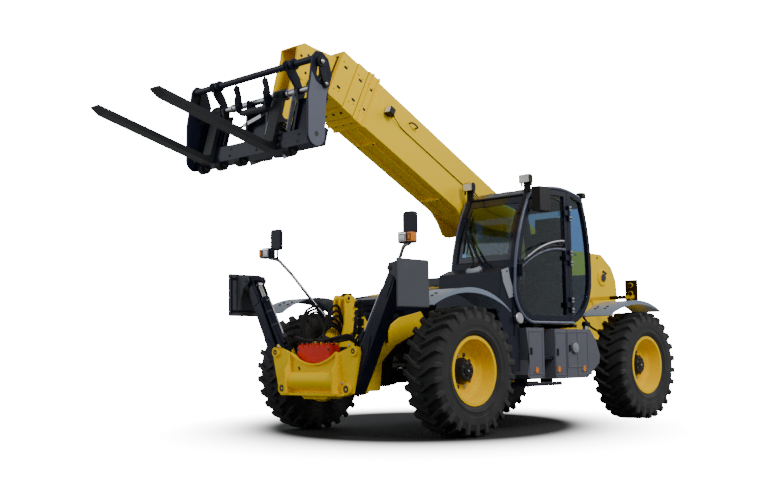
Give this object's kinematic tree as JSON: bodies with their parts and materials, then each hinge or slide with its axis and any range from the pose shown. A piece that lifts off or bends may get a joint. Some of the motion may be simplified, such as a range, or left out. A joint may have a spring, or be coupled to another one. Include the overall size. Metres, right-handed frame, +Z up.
{
  "type": "telescopic handler",
  "caption": "Four-wheel construction handler with a telescopic boom raised at the front, a tilting fork carriage, a side cab, a side engine pod and two folding front stabiliser legs.",
  "frame": {"origin": "on the ground under the middle of the overall length as it stands", "axes": "+X forward towards the fork tips, +Y to the machine's left, the cab side, +Z up"},
  "size_m": [7.2, 2.54, 3.7998],
  "materials": {
    "yellow_paint": "gloss",
    "dark_paint": "satin",
    "grey_paint": "satin",
    "grey_plastic": "matte",
    "black_plastic": "matte",
    "red_paint": "satin",
    "steel_dark": "satin",
    "cast_iron": "rough",
    "rod_chrome": "polished",
    "tyre": "matte",
    "glass": "clear"
  },
  "bodies": {
    "chassis": {"main_frame": "dark_paint", "tower": "yellow_paint", "front_frame": "yellow_paint", "axles": "steel_dark", "cab_shell": "dark_paint", "cab_glass": "glass", "cab_interior": "black_plastic", "cab_mounts": "dark_paint", "cowl": "dark_paint", "side_boxes": "grey_paint", "step": "dark_paint", "engine_pod": "dark_paint", "engine_block": "cast_iron", "fenders": "grey_plastic", "lamp_arms": "dark_paint", "work_lamps": "black_plastic", "valve_block": "red_paint", "lever_bracket": "yellow_paint", "counterweight": "yellow_paint"},
    "steer_front_left": {"knuckle_front_left": "steel_dark"},
    "wheel_front_left": {"tyre_front_left": "tyre", "rim_front_left": "yellow_paint"},
    "steer_front_right": {"knuckle_front_right": "steel_dark"},
    "wheel_front_right": {"tyre_front_right": "tyre", "rim_front_right": "yellow_paint"},
    "steer_rear_left": {"knuckle_rear_left": "steel_dark"},
    "wheel_rear_left": {"tyre_rear_left": "tyre", "rim_rear_left": "yellow_paint"},
    "steer_rear_right": {"knuckle_rear_right": "steel_dark"},
    "wheel_rear_right": {"tyre_rear_right": "tyre", "rim_rear_right": "yellow_paint"},
    "boom": {"boom_section_1": "yellow_paint"},
    "boom_2": {"boom_section_2": "yellow_paint"},
    "boom_3": {"boom_section_3": "yellow_paint"},
    "boom_4": {"boom_section_4": "yellow_paint"},
    "lift_barrel": {"lift_cylinder": "dark_paint"},
    "lift_rod": {"lift_rod": "rod_chrome"},
    "carriage": {"carriage": "dark_paint"},
    "tilt_barrel": {"tilt_cylinder": "dark_paint"},
    "tilt_rod": {"tilt_rod": "rod_chrome"},
    "fork_left": {"fork_left": "steel_dark"},
    "fork_right": {"fork_right": "steel_dark"},
    "leg_left": {"stabiliser_leg_left": "dark_paint"},
    "pad_left": {"stabiliser_pad_left": "dark_paint"},
    "jack_left": {"stabiliser_cylinder_left": "dark_paint"},
    "jack_rod_left": {"stabiliser_rod_left": "rod_chrome"},
    "leg_right": {"stabiliser_leg_right": "dark_paint"},
    "pad_right": {"stabiliser_pad_right": "dark_paint"},
    "jack_right": {"stabiliser_cylinder_right": "dark_paint"},
    "jack_rod_right": {"stabiliser_rod_right": "rod_chrome"},
    "door": {"door": "dark_paint", "door_glass": "glass"},
    "hood": {"engine_hood": "dark_paint"}
  },
  "joints": [
    {"name": "steer_front_left", "type": "hinge", "parent": "chassis", "child": "steer_front_left", "pos_m": [0.65, 0.86, 0.622], "axis": [0, 0, 1], "range_deg": [-35, 35]},
    {"name": "roll_front_left", "type": "hinge", "parent": "steer_front_left", "child": "wheel_front_left", "pos_m": [0.65, 1.05, 0.622], "axis": [0, 1, 0], "continuous": true},
    {"name": "steer_front_right", "type": "hinge", "parent": "chassis", "child": "steer_front_right", "pos_m": [0.65, -0.86, 0.622], "axis": [0, 0, 1], "range_deg": [-35, 35]},
    {"name": "roll_front_right", "type": "hinge", "parent": "steer_front_right", "child": "wheel_front_right", "pos_m": [0.65, -1.05, 0.622], "axis": [0, 1, 0], "continuous": true},
    {"name": "steer_rear_left", "type": "hinge", "parent": "chassis", "child": "steer_rear_left", "pos_m": [-2.55, 0.86, 0.622], "axis": [0, 0, 1], "range_deg": [-35, 35]},
    {"name": "roll_rear_left", "type": "hinge", "parent": "steer_rear_left", "child": "wheel_rear_left", "pos_m": [-2.55, 1.05, 0.622], "axis": [0, 1, 0], "continuous": true},
    {"name": "steer_rear_right", "type": "hinge", "parent": "chassis", "child": "steer_rear_right", "pos_m": [-2.55, -0.86, 0.622], "axis": [0, 0, 1], "range_deg": [-35, 35]},
    {"name": "roll_rear_right", "type": "hinge", "parent": "steer_rear_right", "child": "wheel_rear_right", "pos_m": [-2.55, -1.05, 0.622], "axis": [0, 1, 0], "continuous": true},
    {"name": "boom_lift", "type": "hinge", "parent": "chassis", "child": "boom", "pos_m": [-3.15, 0, 1.72], "axis": [0, -1, 0], "range_deg": [-27, 44]},
    {"name": "boom_extend_2", "type": "slide", "parent": "boom", "child": "boom_2", "axis": [0.8973, 0, 0.4415], "range_m": [0, 3.3]},
    {"name": "boom_extend_3", "type": "slide", "parent": "boom_2", "child": "boom_3", "axis": [0.8973, 0, 0.4415], "range_m": [0, 3.3]},
    {"name": "boom_extend_4", "type": "slide", "parent": "boom_3", "child": "boom_4", "axis": [0.8973, 0, 0.4415], "range_m": [0, 3.3]},
    {"name": "lift_barrel_swing", "type": "hinge", "parent": "chassis", "child": "lift_barrel", "pos_m": [-2.9, 0, 0.84], "axis": [0, -1, 0], "range_deg": [-24, 39.5]},
    {"name": "lift_rod_slide", "type": "slide", "parent": "lift_barrel", "child": "lift_rod", "axis": [0.8973, 0, 0.4415], "range_m": [-0.402, 0.655]},
    {"name": "carriage_tilt", "type": "hinge", "parent": "boom_4", "child": "carriage", "pos_m": [2.07, 0, 2.93], "axis": [0, -1, 0], "range_deg": [-90, 25]},
    {"name": "tilt_barrel_swing", "type": "hinge", "parent": "boom_4", "child": "tilt_barrel", "pos_m": [1.45125, 0, 3.58065], "axis": [0, -1, 0], "range_deg": [-3, 2]},
    {"name": "tilt_rod_slide", "type": "slide", "parent": "tilt_barrel", "child": "tilt_rod", "axis": [0.8486, 0, -0.529], "range_m": [-0.099, 0.353]},
    {"name": "fork_swing_left", "type": "hinge", "parent": "carriage", "child": "fork_left", "pos_m": [2.21036, 0.27, 3.18025], "axis": [0, -1, 0], "range_deg": [0, 25]},
    {"name": "fork_swing_right", "type": "hinge", "parent": "carriage", "child": "fork_right", "pos_m": [2.21036, -0.65, 3.18025], "axis": [0, -1, 0], "range_deg": [0, 25]},
    {"name": "leg_swing_left", "type": "hinge", "parent": "chassis", "child": "leg_left", "pos_m": [1.47, 0.452, 0.472], "axis": [-1, 0, 0], "range_deg": [0, 84]},
    {"name": "pad_tilt_left", "type": "hinge", "parent": "leg_left", "child": "pad_left", "pos_m": [1.47, 1.02, 1.57], "axis": [-1, 0, 0], "range_deg": [-10, 15]},
    {"name": "jack_swing_left", "type": "hinge", "parent": "chassis", "child": "jack_left", "pos_m": [1.47, 0.55, 0.825], "axis": [-1, 0, 0], "range_deg": [0, 100]},
    {"name": "jack_rod_slide_left", "type": "slide", "parent": "jack_left", "child": "jack_rod_left", "axis": [0, 0.5004, 0.8658], "range_m": [0, 0.41]},
    {"name": "leg_swing_right", "type": "hinge", "parent": "chassis", "child": "leg_right", "pos_m": [1.47, -0.452, 0.472], "axis": [1, 0, 0], "range_deg": [0, 84]},
    {"name": "pad_tilt_right", "type": "hinge", "parent": "leg_right", "child": "pad_right", "pos_m": [1.47, -1.02, 1.57], "axis": [1, 0, 0], "range_deg": [-10, 15]},
    {"name": "jack_swing_right", "type": "hinge", "parent": "chassis", "child": "jack_right", "pos_m": [1.47, -0.55, 0.825], "axis": [1, 0, 0], "range_deg": [0, 100]},
    {"name": "jack_rod_slide_right", "type": "slide", "parent": "jack_right", "child": "jack_rod_right", "axis": [0, -0.5004, 0.8658], "range_m": [0, 0.41]},
    {"name": "door_swing", "type": "hinge", "parent": "chassis", "child": "door", "pos_m": [-1.15, 1.129, 1.8], "axis": [0, 0, 1], "range_deg": [0, 95]},
    {"name": "hood_swing", "type": "hinge", "parent": "chassis", "child": "hood", "pos_m": [-0.33, -0.305, 1.47961], "axis": [-0.9897, 0, 0.1429], "range_deg": [0, 65]}
  ],
  "couplings": [
    {"joint": "steer_front_right", "follows": "steer_front_left", "ratio": 1},
    {"joint": "steer_rear_right", "follows": "steer_rear_left", "ratio": 1},
    {"joint": "boom_extend_3", "follows": "boom_extend_2", "ratio": 1},
    {"joint": "boom_extend_4", "follows": "boom_extend_2", "ratio": 1},
    {"joint": "lift_barrel_swing", "follows": "boom_lift", "ratio": 0.87},
    {"joint": "lift_rod_slide", "follows": "boom_lift", "m_per_rad": 0.85},
    {"joint": "tilt_barrel_swing", "follows": "carriage_tilt", "ratio": 0.025},
    {"joint": "tilt_rod_slide", "follows": "carriage_tilt", "m_per_rad": -0.224},
    {"joint": "jack_swing_left", "follows": "leg_swing_left", "ratio": 1.185},
    {"joint": "jack_swing_right", "follows": "leg_swing_right", "ratio": 1.185},
    {"joint": "jack_rod_slide_left", "follows": "leg_swing_left", "m_per_rad": 0.2756},
    {"joint": "jack_rod_slide_right", "follows": "leg_swing_right", "m_per_rad": 0.2756}
  ]
}
